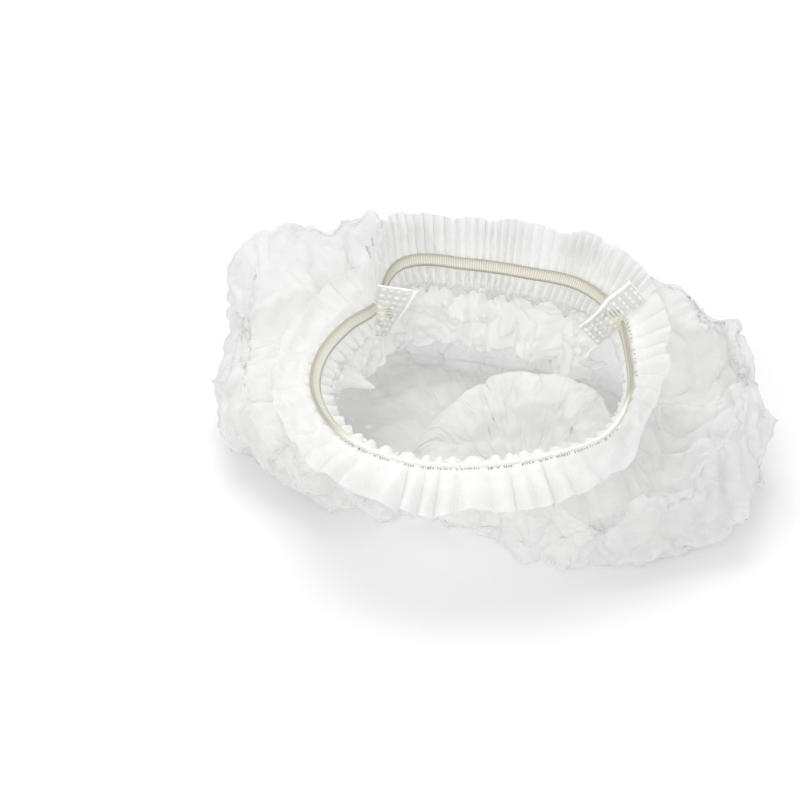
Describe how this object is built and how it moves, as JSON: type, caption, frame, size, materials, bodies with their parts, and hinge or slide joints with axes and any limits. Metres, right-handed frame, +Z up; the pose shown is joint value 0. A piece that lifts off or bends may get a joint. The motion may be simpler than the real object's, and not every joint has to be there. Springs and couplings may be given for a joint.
{
  "type": "disposable hair cover cap",
  "caption": "Pleated non-woven hair cover cap pulled open and lying upside down, with two elastics and two welded end tabs.",
  "frame": {"origin": "on the floor, under the middle of the cap's footprint", "axes": "+Z up, out of the cap's opening; +X to the right of the cap as pictured; +Y to its back"},
  "size_m": [0.249, 0.2132, 0.0896],
  "materials": {
    "cloth": "thin matt non-woven, half see-through",
    "pleated_cloth": "matt non-woven in pleats",
    "elastic": "matt covered elastic tape",
    "weld": "pressed and welded cloth"
  },
  "bodies": {
    "root": {"crown": "cloth", "ruffle_front": "pleated_cloth", "ruffle_back": "pleated_cloth", "elastic_front": "elastic", "elastic_back": "elastic", "end_seal_left": "weld", "end_seal_right": "weld"}
  },
  "joints": []
}
